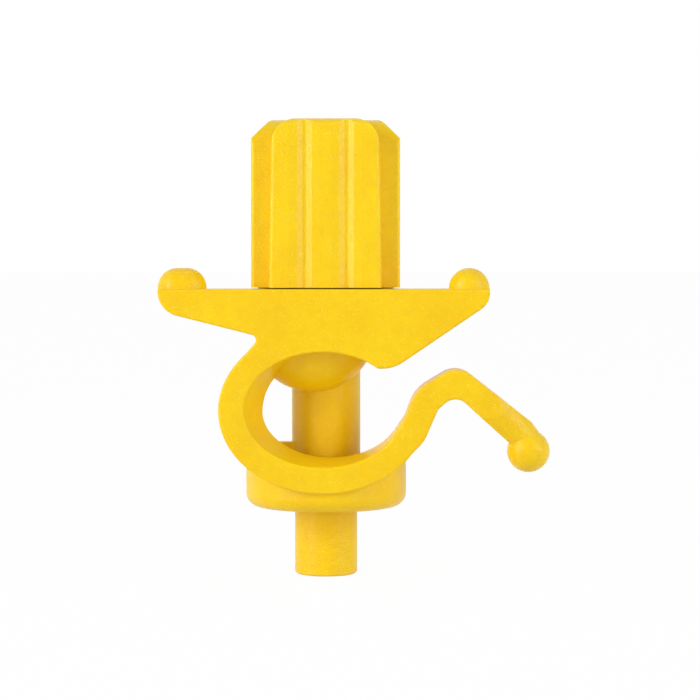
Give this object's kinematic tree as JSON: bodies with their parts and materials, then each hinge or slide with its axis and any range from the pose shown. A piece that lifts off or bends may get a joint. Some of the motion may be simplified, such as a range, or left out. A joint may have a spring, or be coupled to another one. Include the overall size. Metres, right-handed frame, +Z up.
{
  "type": "fence insulator",
  "caption": "Screw-tight electric fence insulator: clamps on a round rod post with a fluted knob and carries a wire in an open C-ring hook.",
  "frame": {"origin": "on the post's axis, at the bottom of the spigot", "axes": "+Z up along the rod post, towards the knob; the wire hook's front face looks along -Y; the tail points to +X; the wire runs along Y"},
  "size_m": [0.0955, 0.041, 0.1129],
  "materials": {
    "body_plastic": "fine spark-eroded yellow polyethylene",
    "knob_plastic": "satin yellow polyethylene"
  },
  "bodies": {
    "insulator": {"insulator_body": "body_plastic"},
    "finger_front": {"collet_finger_front": "body_plastic"},
    "finger_right": {"collet_finger_right": "body_plastic"},
    "finger_back": {"collet_finger_back": "body_plastic"},
    "finger_left": {"collet_finger_left": "body_plastic"},
    "knob_rise": {"knob_cone_seat": "knob_plastic"},
    "knob": {"clamp_knob": "knob_plastic"}
  },
  "joints": [
    {"name": "knob_travel", "type": "slide", "parent": "insulator", "child": "knob_rise", "axis": [0, 0, 1], "range_m": [0, 0.00701]},
    {"name": "knob_turn", "type": "hinge", "parent": "knob_rise", "child": "knob", "pos_m": [0, 0, 0.072], "axis": [0, 0, 1], "range_deg": [0, 720]},
    {"name": "finger_front_flex", "type": "hinge", "parent": "insulator", "child": "finger_front", "pos_m": [0, -0.0089, 0.0881], "axis": [1, 0, 0], "range_deg": [0, 1.51]},
    {"name": "finger_right_flex", "type": "hinge", "parent": "insulator", "child": "finger_right", "pos_m": [0.0089, 0, 0.0881], "axis": [0, 1, 0], "range_deg": [0, 1.51]},
    {"name": "finger_back_flex", "type": "hinge", "parent": "insulator", "child": "finger_back", "pos_m": [0, 0.0089, 0.0881], "axis": [-1, 0, 0], "range_deg": [0, 1.51]},
    {"name": "finger_left_flex", "type": "hinge", "parent": "insulator", "child": "finger_left", "pos_m": [-0.0089, 0, 0.0881], "axis": [0, -1, 0], "range_deg": [0, 1.51]}
  ],
  "couplings": [
    {"joint": "knob_travel", "follows": "knob_turn", "m_per_rad": 0.00055704},
    {"joint": "finger_front_flex", "follows": "knob_turn", "ratio": 0.0020833},
    {"joint": "finger_right_flex", "follows": "knob_turn", "ratio": 0.0020833},
    {"joint": "finger_back_flex", "follows": "knob_turn", "ratio": 0.0020833},
    {"joint": "finger_left_flex", "follows": "knob_turn", "ratio": 0.0020833}
  ]
}
